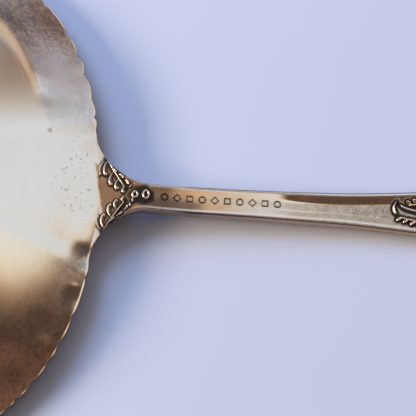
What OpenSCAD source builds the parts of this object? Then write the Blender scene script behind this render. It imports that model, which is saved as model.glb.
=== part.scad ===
// Serving spoon with a round scalloped bowl, lying face down, so that its back is up.
// X runs along the spoon towards the end of the handle, and Z is up from the table.
// Stations are measured along X from the neck, where the handle meets the rim of the bowl.

/* [Bowl] */
// Length of the bowl along the spoon
bowl_length = 67; // [56:1:82]
// Width of the bowl across the rim
bowl_width = 78; // [62:1:94]
// Depth of the bowl inside
bowl_depth = 15; // [10:0.5:20]
// Thickness of the sheet that the bowl is raised from
bowl_wall = 1; // [0.8:0.1:1.6]
// Squareness of the outline, where 2 is an ellipse
bowl_squareness = 2.3; // [2:0.05:2.8]
// Fullness of the dome, where 2 is a parabola and more is flatter on top and steeper at the rim
bowl_fullness = 2.2; // [1.8:0.05:2.6]
// Rise of the rim above the table at the neck
rim_rise = 3.4; // [2.6:0.1:6]
// Length of rim, from the neck, that has left the table
rim_lift_length = 50; // [35:1:60]

/* [Rim] */
// Number of scallops round the rim
scallop_count = 88; // [64:4:100]
// Depth of a scallop
scallop_depth = 0.5; // [0.2:0.05:0.9]
// Height of the crimp that runs in from each scallop
crimp_height = 0.6; // [0.5:0.05:0.9]

/* [Shoulder] */
// Distance from the neck station back to the rim of the bowl
rim_setback = 1.85; // [1.2:0.05:2.2]
// Length of the tab on the rim under the handle
tab_length = 1.5; // [1:0.1:1.9]
// Length of the shoulder that laps on the bowl, from the neck station
lap_length = 2.5; // [2:0.1:3]
// Thickness of the shoulder at the edge of the lap
lap_edge = 0.35; // [0.3:0.05:0.6]
// Length of the fillet between the rim and the handle, along the handle
fillet_length = 8.8; // [7:0.2:11]
// Spread of the fillet along the rim
fillet_spread = 12; // [9:0.5:14]
// Film of solder between two pieces
solder_film = 0.06; // [0.04:0.01:0.12]

/* [Handle] */
// Length of the slender shank, from the neck to the leaf on the back
shank_length = 41; // [34:0.5:50]
// Length from the shank to the broadest place of the terminal
flare_length = 53; // [44:0.5:66]
// Length of the rounded end past the broadest place
end_length = 28; // [20:1:36]
// Width at the waist of the shank
waist_width = 3.9; // [3.2:0.1:5]
// Distance from the neck to the waist
waist_station = 13; // [11:1:18]
// Width of the terminal at its broadest place
terminal_width = 20; // [15:0.5:26]
// Thickness at the neck
neck_thickness = 2.6; // [2:0.1:3.4]
// Thickness of the shank
shank_thickness = 2.1; // [1.7:0.1:2.8]
// Thickness of the terminal
terminal_thickness = 1.8; // [1.4:0.1:2.4]
// Distance from the neck to the place where the handle rests on the table
rest_station = 70; // [60:1:80]
// Height of the end of the handle above the table
end_rise = 8; // [3:0.5:14]

/* [Threads] */
// Width of the raised thread along each edge
thread_width = 0.62; // [0.45:0.02:0.8]
// Depth of the hollow back between the threads
hollow_depth = 0.42; // [0.2:0.02:0.6]

/* [Leaves] */
// Height of the leaves above the metal that they lie on
leaf_height = 0.45; // [0.3:0.05:0.7]
// Length of the leaf on the back of the handle
back_leaf_length = 27; // [20:1:34]
// Pairs of lobes on the leaf on the back
back_leaf_pairs = 7; // [4:1:8]
// Length of the leaf on the face of the terminal
front_leaf_length = 26; // [18:1:30]
// Pairs of lobes on the leaf on the face
front_leaf_pairs = 5; // [3:1:6]
// Outer radius of a curl on the neck
curl_radius = 0.62; // [0.5:0.02:0.8]

/* [Hidden] */

// Bowl, from its centre
bowl_a = bowl_length / 2;
bowl_b = bowl_width / 2;
bowl_x = -rim_setback - bowl_a;
dome_rings = [0.14, 0.28, 0.42, 0.55, 0.67, 0.78, 0.87];
flute_start = 0.94;
points_per_scallop = 4;
rim_points = scallop_count * points_per_scallop;
scallop_spread = 15;
scallop_power = 0.8;
scallop_wobble = 1;
wobble_turns = 13;
plain_angle = 17;
scalloped_angle = 26;
tab_angles = [5, 12];
rim_bulge = 0.12;

// Handle, in stations from the neck
fillet_lap = 1.2;
face_margin = 0.2;
handle_length = shank_length + flare_length + end_length;
broad_station = shank_length + flare_length;
fillet_end = fillet_length - rim_setback - fillet_lap;
lap_full = tab_length - rim_setback + face_margin;
neck_full = 6;
neck_thinning = 4;
spine_drop = 0.6;
swell_power = [2.4, 1.5];
end_power = [2.4, 0.7];

// Cross-section of the handle, with distances from its edge in widths of the thread
side_share = 0.4;
face_side_share = 0.28;
thread_round = 0.12;
thread_crown = 0.5;
hollow_start = 0.75;
hollow_full = 2.4;
round_drop = 0.18;
hollow_share = 0.4;
face_thread = [0.4, 0.85];
quirk_foot = 1.3;
thread_share = 0.4;
quirk_depth = 0.16;
section_inner = [0.66, 0.33, 0];

// Rib of the spray on the shoulder, from its root to its tip: stations, and distances in from the edge
spray_stations = [2.5, -0.4];
spray_insets = [1.4, 0.5];
spray_rib_radii = [0.32, 0.2];
// Lobes that hang from the rib, each as its place on the rib and the reach of its bend and its tip
spray_lobes = [
    [0.97, [-0.55, -0.95], [-0.1, -1.85]],
    [0.65, [-0.57, -1.1], [-0.2, -2.05]],
    [0.36, [-0.45, -0.87], [0, -1.55]],
    [0.04, [-0.33, -0.5], [-0.03, -0.95]]];
spray_lobe_radii = [0.22, 0.36, 0.28];
// Buds between the rib and the edge, each as its place on the rib and its reach
spray_buds = [
    [0.66, [0.62, -0.13]],
    [0.36, [0.7, 0.13]],
    [0.1, [0.69, 0.02]]];
spray_bud_radii = [0.22, 0.26];

// Leaves on the handle, with the margins that they leave to its edges and its end
leaf_ends = [0.12, 0.86];
leaf_fullness = [0.8, 0.7];
lobe_crowding = 1.5;
lobe_bends = [0, 0.55, 1];
rib_bends = [0, 0.25, 0.5, 0.75, 1];
rib_radii = [0.24, 0.5];
lobe_swell = 0.08;
back_leaf_margin = 1.7 * thread_width;
front_leaf_margin = 3.6 * thread_width;
end_margin = 5;

// Curls on the neck, and their stem with its bends in pitches of the curls
curl_rod = 0.26;
curl_station = 3.95;
curl_pitch = 2.6 * curl_radius;
curl_turn = 40;
stem_bends = [-0.4, 0.5, 1.5];
stem_bow = 0.6;

// Tones of the silver, from polished to tarnished
bowl_silver = [0.83, 0.82, 0.8];
leaf_silver = [0.86, 0.83, 0.78];
husk_silver = [0.8, 0.77, 0.72];
handle_silver = [0.76, 0.71, 0.64];

// The whole spoon is centred on its length
middle_x = (handle_length - rim_setback - bowl_length - scallop_depth) / 2;

function clamp01(u) = min(1, max(0, u));
function mix(a, b, u) = a + (b - a) * u;
function within(pair, u) = mix(pair[0], pair[1], u);
function smooth(a, b, x) = let (u = clamp01((x - a) / (b - a))) u * u * (3 - 2 * u);

// Radius of the plain outline of the bowl in a direction from its centre
function outline(angle) =
    pow(pow(abs(cos(angle)) / bowl_a, bowl_squareness) + pow(abs(sin(angle)) / bowl_b, bowl_squareness),
        -1 / bowl_squareness);

// Height of the dome as a share of its depth: flat at the centre and steep towards the rim.
// The border outside flute_start runs straight to the rim, and on under the lap of the shoulder.
function dome_curve(share) = 1 - pow(share, bowl_fullness);
function dome(share) =
    share < flute_start ? dome_curve(share) : dome_curve(flute_start) * (1 - share) / (1 - flute_start);

// Rise of the rim towards the neck
function lift(x) = rim_rise * pow(max(0, 1 + x / rim_lift_length), 2);

// Height of the back of the bowl, carried on past the rim
function bowl_back(x, y) =
    let (dx = x - bowl_x, share = norm([dx, y]) / outline(atan2(y, dx)))
    bowl_wall + bowl_depth * dome(share) + lift(x);
// The same height, but level past the rim
function bowl_brim(x, y) = max(bowl_back(x, y), bowl_wall + lift(x));

// Direction of rim point j. Scallops are longer near the neck than at the front, and a little uneven.
function rim_angle(j) =
    let (turn = 360 * j / rim_points)
    turn + scallop_spread * sin(turn) + scallop_wobble * sin(wobble_turns * turn);
function from_neck(angle) = abs(angle > 180 ? angle - 360 : angle);
function scallop(j) =
    smooth(plain_angle, scalloped_angle, from_neck(rim_angle(j)))
    * pow(abs(sin(180 * j / points_per_scallop)), scallop_power);
function tab(angle) = tab_length * (1 - smooth(tab_angles[0], tab_angles[1], from_neck(angle)));

function bowl_point(angle, radius, drop, raise) =
    let (x = bowl_x + radius * cos(angle), y = radius * sin(angle))
    [x, y, bowl_back(x, y) - drop + raise];
function dome_ring(share, drop) =
    [for (j = [0 : points_per_scallop : rim_points - 1])
        let (angle = rim_angle(j)) bowl_point(angle, share * outline(angle), drop, 0)];
function flute_ring(share, drop) =
    [for (j = [0 : rim_points - 1])
        let (angle = rim_angle(j)) bowl_point(angle, share * outline(angle), drop, 0)];
function rim_ring(drop, bulge) =
    [for (j = [0 : rim_points - 1])
        let (angle = rim_angle(j), s = scallop(j))
        bowl_point(angle, outline(angle) + scallop_depth * s + tab(angle) + bulge, drop, crimp_height * s)];

// Faces between two rings of n points that start at points a and b
function band(a, b, n) =
    [for (j = [0 : n - 1]) let (k = (j + 1) % n) each [[a + j, b + k, b + j], [a + j, a + k, b + k]]];
// Faces between a ring of n points and one of n * m points
function spread_band(a, b, n, m) =
    [for (j = [0 : n - 1]) each concat(
        [for (i = [0 : m - 1]) [a + j, b + (j * m + i + 1) % (n * m), b + j * m + i]],
        [[a + j, a + (j + 1) % n, b + ((j + 1) * m) % (n * m)]])];
function flipped(faces) = [for (f = faces) [f[0], f[2], f[1]]];
function shifted(faces, by) = [for (f = faces) [f[0] + by, f[1] + by, f[2] + by]];

// One wall of the bowl: pole, rings of the dome, flutes and rim
function wall_points(drop) = concat(
    [[bowl_x, 0, bowl_back(bowl_x, 0) - drop]],
    [for (share = dome_rings) each dome_ring(share, drop)],
    flute_ring(flute_start, drop),
    rim_ring(drop, 0));
function wall_faces() =
    let (n = scallop_count, rings = len(dome_rings), fine = 1 + rings * n)
    concat(
        [for (j = [0 : n - 1]) [0, 1 + (j + 1) % n, 1 + j]],
        [for (i = [0 : rings - 2]) each band(1 + i * n, 1 + (i + 1) * n, n)],
        spread_band(1 + (rings - 1) * n, fine, n, points_per_scallop),
        band(fine, fine + rim_points, rim_points));

module bowl_shell() {
    outer = wall_points(0);
    inner = wall_points(bowl_wall);
    edge = rim_ring(bowl_wall / 2, rim_bulge);
    count = len(outer);
    rim = count - rim_points;
    polyhedron(
        concat(outer, inner, edge),
        concat(
            wall_faces(),
            flipped(shifted(wall_faces(), count)),
            band(rim, 2 * count, rim_points),
            flipped(band(count + rim, 2 * count, rim_points))));
}

// Half the width of the handle: fillet, shank, swelling terminal and rounded end
function fillet_width(s) =
    s > fillet_end ? 0 : fillet_spread * (1 - sqrt(max(0, 1 - pow((fillet_end - s) / fillet_length, 2))));
function shank_width(s) =
    let (u = clamp01((s - waist_station) / (broad_station - waist_station)))
    mix(waist_width, terminal_width, 1 - pow(1 - pow(u, swell_power[0]), swell_power[1])) / 2;
function end_share(s) = pow(1 - pow(clamp01((s - broad_station) / end_length), end_power[0]), end_power[1]);
function half_width(s) = (shank_width(s) + fillet_width(s)) * end_share(s);

// Height of the face of the handle, which bends down to the table and up again to its end
function spine(s) =
    s < rest_station
        ? (rim_rise - spine_drop) * pow(1 - s / rest_station, 2)
        : end_rise * pow((s - rest_station) / (handle_length - rest_station), 2);
function thickness(s) =
    mix(mix(neck_thickness, shank_thickness, smooth(neck_thinning, waist_station, s)),
        terminal_thickness, smooth(shank_length, broad_station, s));

// Edge height of the back and of the face, before threads and hollows
function back_edge(s, y) =
    mix(bowl_brim(s, y) + solder_film + lap_edge, spine(s) + thickness(s),
        smooth(-lap_length, neck_full, s));
function face_edge(s, y) =
    mix(bowl_back(min(s, lap_full), y) + solder_film, spine(s), smooth(lap_full, neck_full, s));

// Hollow of the back at a distance from the edge of the handle
function hollow(s, in) =
    let (depth = min(hollow_depth, hollow_share * (back_edge(s, 0) - face_edge(s, 0))))
    depth * smooth(thread_width * hollow_start, thread_width * hollow_full, in);
function back_height(s, y) = back_edge(s, y) - hollow(s, half_width(s) - abs(y));

// Width of the thread, which narrows where the handle ends
function thread_at(w) = min(thread_width, thread_share * w);

// Half a cross-section of the back, from the side to the middle, as [y, z]
function back_half(s) =
    let (w = half_width(s), t = thread_at(w), inner = w - hollow_full * t,
         high = back_edge(s, w), thick = high - face_edge(s, w))
    concat(
        [[w, high - side_share * thick],
         [w - thread_round * t, high - round_drop * min(1, thick)],
         [w - thread_crown * t, high]],
        [for (y = concat([inner], inner * section_inner)) [y, back_height(s, y)]]);
// Half a cross-section of the face: a low thread, a quirk and a crowned middle
function face_half(s) =
    let (w = half_width(s), t = thread_at(w), inner = w - quirk_foot * t,
         quirk = quirk_depth * smooth(neck_full, waist_station, s) * end_share(s))
    concat(
        [[w - thread_round * t, mix(face_edge(s, w), back_edge(s, w), face_side_share)]],
        [for (in = face_thread) [w - in * t, face_edge(s, w - in * t)]],
        [[inner, face_edge(s, inner) + quirk]],
        [for (y = inner * section_inner) [y, face_edge(s, y)]]);
function mirrored(half) = [for (i = [len(half) - 2 : -1 : 0]) [-half[i][0], half[i][1]]];
function reversed(list) = [for (i = [len(list) - 1 : -1 : 0]) list[i]];
function section(s) =
    let (back = back_half(s), face = face_half(s),
         round_trip = concat(back, mirrored(back), reversed(concat(face, mirrored(face)))))
    [for (p = round_trip) [s, p[0], p[1]]];

// Stations: close together on the shoulder and at the rounded end
shoulder_steps = 12;
shank_steps = 26;
end_steps = 9;
end_closing = 1.015;
end_crowding = 1.7;
handle_stations = concat(
    [for (i = [0 : shoulder_steps]) mix(-lap_length, fillet_end, i / shoulder_steps)],
    [for (i = [1 : shank_steps]) mix(fillet_end, broad_station, i / shank_steps)],
    [for (i = [1 : end_steps])
        broad_station + end_length * (1 - pow(1 - i / (end_steps * end_closing), end_crowding))]);

module handle_bar() {
    rings = [for (s = handle_stations) section(s)];
    n = len(rings[0]);
    last = (len(rings) - 1) * n;
    half = n / 2;
    cap = [for (i = [0 : half - 2]) each [[i, i + 1, n - 2 - i], [i, n - 2 - i, n - 1 - i]]];
    polyhedron(
        [for (ring = rings) each ring],
        concat(
            [for (i = [0 : len(rings) - 2]) each flipped(band(i * n, (i + 1) * n, n))],
            cap,
            flipped(shifted(cap, last))));
}

// A tapering rod through beads, each given as [x, y, z, radius]
module rod(beads) {
    for (i = [0 : len(beads) - 2])
        hull()
            for (b = [beads[i], beads[i + 1]])
                translate([b[0], b[1], b[2]])
                    sphere(r = b[3], $fn = 8);
}

// Cuts away whatever lies inside the handle or the bowl, so that an ornament seats on them
module seated(up = 1) {
    difference() {
        children();
        translate([0, 0, up * solder_film]) {
            handle_bar();
            bowl_shell();
        }
    }
}

// A bead on the back (up = 1) or on the face (up = -1) that stands leaf_height above the metal
function on_metal(up, s, y, r) =
    [s, y, up > 0 ? back_height(s, y) + leaf_height - r : face_edge(s, y) - leaf_height + r, r];

module bowl() {
    color(bowl_silver)
        translate([-middle_x, 0, 0])
            bowl_shell();
}

module handle() {
    color(handle_silver)
        translate([-middle_x, 0, 0])
            handle_bar();
}

// Shoulder spray: a rib along the fillet, lobes towards the axis and buds along the edge
function along_spray(u) = let (s = within(spray_stations, u)) [s, half_width(s) - within(spray_insets, u)];
function spray_bead(p, side, r) = on_metal(1, p[0], side * p[1], r);
module spray(side) {
    color(leaf_silver)
        translate([-middle_x, 0, 0])
            seated() {
                rod([for (u = rib_bends) spray_bead(along_spray(u), side, within(spray_rib_radii, u))]);
                for (lobe = spray_lobes)
                    let (base = along_spray(lobe[0]))
                        rod([spray_bead(base, side, spray_lobe_radii[0]),
                             spray_bead(base + lobe[1], side, spray_lobe_radii[1]),
                             spray_bead(base + lobe[2], side, spray_lobe_radii[2])]);
                for (bud = spray_buds)
                    let (base = along_spray(bud[0]))
                        rod([spray_bead(base, side, spray_bud_radii[0]),
                             spray_bead(base + bud[1], side, spray_bud_radii[1])]);
            }
}

module shoulder_leaf_left() {
    spray(1);
}

module shoulder_leaf_right() {
    spray(-1);
}

// Two curls in a row on the neck, each a ring of rod, on one stem
module neck_husk() {
    ring = curl_radius - curl_rod;
    color(husk_silver)
        translate([-middle_x, 0, 0])
            seated() {
                for (middle = [curl_station, curl_station + curl_pitch])
                    rod([for (turn = [curl_turn : curl_turn : 360])
                        on_metal(1, middle + ring * cos(turn), ring * sin(turn), curl_rod)]);
                rod([for (u = stem_bends)
                    let (bow = 1 - stem_bow * abs(u - 0.5))
                    on_metal(1, curl_station + u * curl_pitch, -ring * bow, curl_rod)]);
            }
}

// Half the width of a leaf at a share of its length from the tip: full in the middle, narrow at both ends
function leaf_half(s, u, margin) =
    let (turn = 180 * pow(within(leaf_ends, u), leaf_fullness[0]))
    (half_width(s) - margin) * pow(sin(turn), leaf_fullness[1]);
// Lobes crowd towards the tip
function lobe_share(i, pairs) = pow(i / pairs, lobe_crowding);

// Leaf with a rib and pairs of lobes that curl towards the tip
module leaf(up, tip, length, pairs, margin) {
    color(leaf_silver)
        translate([-middle_x, 0, 0])
            seated(up) {
                rod([for (u = rib_bends) on_metal(up, tip + u * length, 0, within(rib_radii, u))]);
                for (i = [1 : pairs], side = [-1, 1])
                    rod([for (v = lobe_bends)
                        let (u = mix(lobe_share(i, pairs), lobe_share(i - 1, pairs), v * v),
                             s = tip + u * length,
                             wide = leaf_half(s, u, margin))
                        on_metal(up, s, side * wide * sin(90 * v), rib_radii[0] + lobe_swell * wide * v)]);
            }
}

module back_leaf() {
    leaf(1, shank_length, back_leaf_length, back_leaf_pairs, back_leaf_margin);
}

module front_leaf() {
    front_tip = handle_length - end_margin - front_leaf_length;
    leaf(-1, front_tip, front_leaf_length, front_leaf_pairs, front_leaf_margin);
}

bowl();
handle();
shoulder_leaf_left();
shoulder_leaf_right();
neck_husk();
back_leaf();
front_leaf();
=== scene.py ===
"""Looks of a silver serving spoon that lies face down, with a scalloped bowl and carved leaves."""
import math

import bpy
import numpy as np
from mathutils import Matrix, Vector, kdtree


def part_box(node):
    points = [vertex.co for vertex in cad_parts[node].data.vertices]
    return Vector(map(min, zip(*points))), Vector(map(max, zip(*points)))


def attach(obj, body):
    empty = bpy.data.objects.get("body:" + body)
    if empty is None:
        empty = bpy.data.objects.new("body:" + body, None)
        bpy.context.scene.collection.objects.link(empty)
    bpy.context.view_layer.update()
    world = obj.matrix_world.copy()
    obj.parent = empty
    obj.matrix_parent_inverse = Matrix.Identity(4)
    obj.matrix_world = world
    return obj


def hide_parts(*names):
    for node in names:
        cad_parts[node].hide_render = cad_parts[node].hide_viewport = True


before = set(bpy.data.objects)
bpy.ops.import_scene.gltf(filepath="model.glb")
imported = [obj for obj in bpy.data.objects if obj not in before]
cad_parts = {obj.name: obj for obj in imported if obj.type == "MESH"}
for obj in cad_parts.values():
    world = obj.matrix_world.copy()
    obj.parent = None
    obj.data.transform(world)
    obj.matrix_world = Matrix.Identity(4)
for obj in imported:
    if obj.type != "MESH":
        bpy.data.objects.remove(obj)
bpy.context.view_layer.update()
bowl_low, bowl_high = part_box("bowl")
handle_low, handle_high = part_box("handle")

MM = 0.001
TURN = 2 * math.pi

# Bowl
bowl_wall = 1.0 * MM
bowl_depth = 14.97 * MM
squareness = 2.3
fullness = 2.2
rim_rise = 3.4 * MM
rim_lift_length = 50.0 * MM
scallop_count = 88
scallop_depth = 0.5 * MM
scallop_spread = math.radians(15)
scallop_wobble = math.radians(1)
wobble_turns = 13
rim_bulge = 0.12 * MM
rim_setback = 1.85 * MM
lap_length = 2.5 * MM
neck_x = handle_low.x + lap_length
rim_x = neck_x - rim_setback
bowl_front = bowl_low.x + scallop_depth + rim_bulge
bowl_a = (rim_x - bowl_front) / 2
bowl_b = bowl_high.y - scallop_depth - rim_bulge
bowl_x = rim_x - bowl_a

# Handle, in stations from the neck
handle_length = handle_high.x - neck_x
waist_station = 13.0 * MM
shank_length = 41.0 * MM
broad_station = 94.0 * MM
rest_station = 70.0 * MM
waist_width = 3.9 * MM
terminal_width = handle_high.y - handle_low.y
flare_power = 2.4
flare_ease = 1.5
end_power = 2.4
end_roundness = 0.7
shank_swell = 0.1 * MM
shank_swell_in = 4.0 * MM, 9.0 * MM
shank_swell_out = 26.0 * MM, 36.0 * MM
neck_swell = 0.24 * MM
neck_swell_in = -0.5 * MM, 1.5 * MM
neck_swell_out = 1.5 * MM, 7.0 * MM
neck_thickness = 2.6 * MM
shank_thickness = 2.1 * MM
terminal_thickness = 1.8 * MM
end_rise = handle_high.z - terminal_thickness
spine_drop = 0.6 * MM
fillet_length = 8.8 * MM
fillet_spread = 12.0 * MM
fillet_end = 5.75 * MM
neck_full = 6.0 * MM
neck_thinning = 4.0 * MM
lap_full = -0.15 * MM
lap_edge = 0.03 * MM
lap_film = 0.01 * MM

# Back of the handle, from its edge inwards: chamfer, thread, slope and flat hollow
edge_insets = np.array([0, 0.05, 0.12, 0.2, 0.29, 0.36, 0.43, 0.5, 0.57, 0.62,
                        0.68, 0.8, 1.0, 1.2, 1.4, 1.57, 1.7, 1.79, 1.86, 1.94]) * MM
edge_drops = np.array([0.5, 0.38, 0.27, 0.17, 0.07, 0.015, 0, 0.004, 0.03, 0.08,
                       0.13, 0.182, 0.269, 0.356, 0.443, 0.515, 0.565, 0.588, 0.597, 0.6]) * MM
thread_width = 0.6 * MM
thread_drop = 0.08 * MM
hollow_drops = np.where(edge_insets > thread_width, edge_drops - thread_drop, 0)
neck_hollow = 0.22
hollow_stations = 23.5 * MM, 28.0 * MM
full_thickness = 1.3 * MM
deepest_share = 0.8
widest_share = 0.85
slim_scale = 0.78
slim_stations = 24.0 * MM, 34.0 * MM
wing_stations = -2.3 * MM, -0.6 * MM
wing_reach = 4.5 * MM, 7.0 * MM
oxide_depth = 0.06 * MM
punch_depth = 0.05 * MM

# Side and face of the handle, with a fine groove along each edge of the face
side_draft = 0.04 * MM
side_round = 0.3 * MM
round_share = 0.4
groove_depth = 0.16 * MM
groove_inset = 0.8 * MM
groove_half = 0.22 * MM
groove_width = 3.0 * MM

# Points of a section, and stretches of stations with their counts, dense where the handle is carved
middle_points = 26
round_points = 6
face_points = 15
stretches = [(-lap_length, 7 * MM, 110), (7 * MM, 26 * MM, 150), (26 * MM, 40 * MM, 50),
             (40 * MM, 69 * MM, 240), (69 * MM, broad_station, 50)]
end_sections = 50
end_crowding = 1.7
end_reach = 0.9995

# The border of the bowl ends in a narrow level lip
lip_start = 0.997
lip_drop = 1 - lip_start ** fullness


def mix(a, b, u):
    return a + (b - a) * u


def smooth(low, high, x):
    """0 below low, 1 above high, and an easy slope between them."""
    u = np.clip((x - low) / (high - low), 0, 1)
    return u * u * (3 - 2 * u)


class Field:
    """A node's output that takes part in arithmetic: an expression adds its Math nodes."""

    def __init__(self, net, socket):
        self.net = net
        self.socket = socket

    def __getitem__(self, name):
        return Field(self.net, self.socket.node.outputs[name])

    def __add__(self, other):
        return self.net.math("ADD", self, other)

    def __radd__(self, other):
        return self.net.math("ADD", other, self)

    def __sub__(self, other):
        return self.net.math("SUBTRACT", self, other)

    def __rsub__(self, other):
        return self.net.math("SUBTRACT", other, self)

    def __mul__(self, other):
        return self.net.math("MULTIPLY", self, other)

    def __rmul__(self, other):
        return self.net.math("MULTIPLY", other, self)

    def __truediv__(self, other):
        return self.net.math("DIVIDE", self, other)

    def __pow__(self, other):
        return self.net.math("POWER", self, other)

    def __abs__(self):
        return self.net.math("ABSOLUTE", self)

    def cos(self):
        return self.net.math("COSINE", self)

    def sin(self):
        return self.net.math("SINE", self)

    def least(self, other):
        return self.net.math("MINIMUM", self, other)

    def most(self, other):
        return self.net.math("MAXIMUM", self, other)

    def clamped(self):
        return self.most(0).least(1)

    def smooth(self, low, high):
        """The same slope as the plain smooth, as a node."""
        return self.net.add("ShaderNodeMapRange", {"interpolation_type": "SMOOTHSTEP"},
                            {0: self, 1: low, 2: high, 3: 0, 4: 1})

    def split(self):
        parts = self.net.add("ShaderNodeSeparateXYZ", sockets={0: self})
        return parts["X"], parts["Y"], parts["Z"]


class Net:
    """A node tree, with one way to add a node to it."""

    def __init__(self, tree):
        self.tree = tree
        tree.nodes.clear()

    def add(self, kind, settings=None, sockets=None):
        node = self.tree.nodes.new(kind)
        for name, value in (settings or {}).items():
            if name == "stops":
                self.set_stops(node.color_ramp.elements, value)
            else:
                setattr(node, name, value)
        for name, value in (sockets or {}).items():
            if isinstance(value, Field):
                self.tree.links.new(value.socket, node.inputs[name])
            else:
                node.inputs[name].default_value = value
        return Field(self, next((o for o in node.outputs if o.enabled), None))

    def set_stops(self, elements, stops):
        while len(elements) < len(stops):
            elements.new(0.5)
        for element, (position, colour) in zip(elements, stops):
            element.position = position
            element.color = (*colour, 1)

    def math(self, operation, *values):
        return self.add("ShaderNodeMath", {"operation": operation}, dict(enumerate(values)))

    def vector(self, operation, *values):
        return self.add("ShaderNodeVectorMath", {"operation": operation}, dict(enumerate(values)))

    def point(self, x, y, z):
        return self.add("ShaderNodeCombineXYZ", sockets={0: x, 1: y, 2: z})

    def scaled(self, vector, by):
        return self.add("ShaderNodeVectorMath", {"operation": "SCALE"}, {0: vector, "Scale": by})

    def blend(self, factor, a, b):
        return self.add("ShaderNodeMix", {"data_type": "RGBA"}, {0: factor, 6: a, 7: b})

    def ramp(self, factor, stops):
        return self.add("ShaderNodeValToRGB", {"stops": stops}, {0: factor})["Color"]

    def spot(self, x, y, place, size):
        """1 at a place on the spoon (station and distance from the axis, in mm), and 0 outside size."""
        along = (x - (neck_x + place[0] * MM)) / (size[0] * MM)
        far = self.point(along, (y - place[1] * MM) / (size[1] * MM), 0)
        length = self.add("ShaderNodeVectorMath", {"operation": "LENGTH"}, {0: far})["Value"]
        return 1 - length.smooth(0, 1)


class Maker(Net):
    """A geometry tree with named sizes, which makes one plain mesh."""

    def __init__(self, name, sizes):
        tree = bpy.data.node_groups.new(name, "GeometryNodeTree")
        super().__init__(tree)
        self.sizes = sizes
        tree.interface.new_socket("Geometry", in_out="INPUT", socket_type="NodeSocketGeometry")
        for size, value in sizes.items():
            kind = "NodeSocketInt" if isinstance(value, int) else "NodeSocketFloat"
            tree.interface.new_socket(size, in_out="INPUT", socket_type=kind)
        tree.interface.new_socket("Material", in_out="INPUT", socket_type="NodeSocketMaterial")
        tree.interface.new_socket("Geometry", in_out="OUTPUT", socket_type="NodeSocketGeometry")
        self.given = self.add("NodeGroupInput")

    def stored(self, geometry, name, value, kind="FLOAT"):
        return self.add("GeometryNodeStoreNamedAttribute", {"data_type": kind, "domain": "POINT"},
                        {"Geometry": geometry, "Name": name, "Value": value})

    def read(self, name, kind="FLOAT"):
        return self.add("GeometryNodeInputNamedAttribute", {"data_type": kind}, {"Name": name})

    def finish(self, geometry):
        merged = self.add("GeometryNodeMergeByDistance", sockets={
            "Geometry": geometry, "Distance": 0.001 * MM})
        smooth = self.add("GeometryNodeSetShadeSmooth", sockets={"Geometry": merged})
        real = self.add("GeometryNodeRealizeInstances", sockets={"Geometry": smooth})
        dressed = self.add("GeometryNodeSetMaterial",
                           sockets={"Geometry": real, "Material": self.given["Material"]})
        self.add("NodeGroupOutput", sockets={"Geometry": dressed})

    def make(self, name, material, seed=None):
        """Runs the tree on a seed mesh and returns an object with the plain result."""
        piece = bpy.data.objects.new(name, seed or bpy.data.meshes.new(name))
        bpy.context.scene.collection.objects.link(piece)
        modifier = piece.modifiers.new(name, "NODES")
        modifier.node_group = self.tree
        values = {**self.sizes, "Material": material}
        for item in self.tree.interface.items_tree:
            if item.in_out == "INPUT" and item.name in values:
                modifier[item.identifier] = values[item.name]
        depsgraph = bpy.context.evaluated_depsgraph_get()
        made = bpy.data.meshes.new_from_object(piece.evaluated_get(depsgraph), depsgraph=depsgraph)
        piece.modifiers.clear()
        piece.data = made
        return piece


# Shape of the bowl, for its own mesh and for the shoulder that laps on it

def outline_radius(angle):
    c = np.abs(np.cos(angle)) / bowl_a
    s = np.abs(np.sin(angle)) / bowl_b
    return (c ** squareness + s ** squareness) ** (-1 / squareness)


def bowl_back(s, y):
    """Height of the back of the bowl at a station and a distance from the axis, level past the rim."""
    dx = s + neck_x - bowl_x
    share = np.hypot(dx, y) / outline_radius(np.arctan2(y, dx))
    dome = np.maximum(0, 1 - share ** fullness - lip_drop) / (1 - lip_drop)
    lift = rim_rise * np.maximum(0, 1 + s / rim_lift_length) ** 2
    return bowl_wall + bowl_depth * dome + lift


# Dents of long use near the rim: place, size and depth in mm, where a negative depth is a crest
dents = [((-1.4, -7.2), (2.2, 2.6), -0.08), ((-2.9, -9.6), (2.3, 2.6), 0.2),
         ((-4.0, -15.8), (1.7, 2.3), 0.2), ((-3.7, -13.9), (0.8, 0.6), -0.06),
         ((-8.0, -20.5), (2.6, 3.0), 0.16), ((-12.5, -26.0), (3.2, 3.4), 0.2),
         ((-7.0, 21.5), (2.4, 3.0), 0.12), ((-9.4, 12.9), (1.7, 1.7), 0.06),
         ((-60.0, -24.0), (4.0, 5.0), 0.15), ((-52.0, 27.0), (5.0, 4.0), 0.14)]


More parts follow.
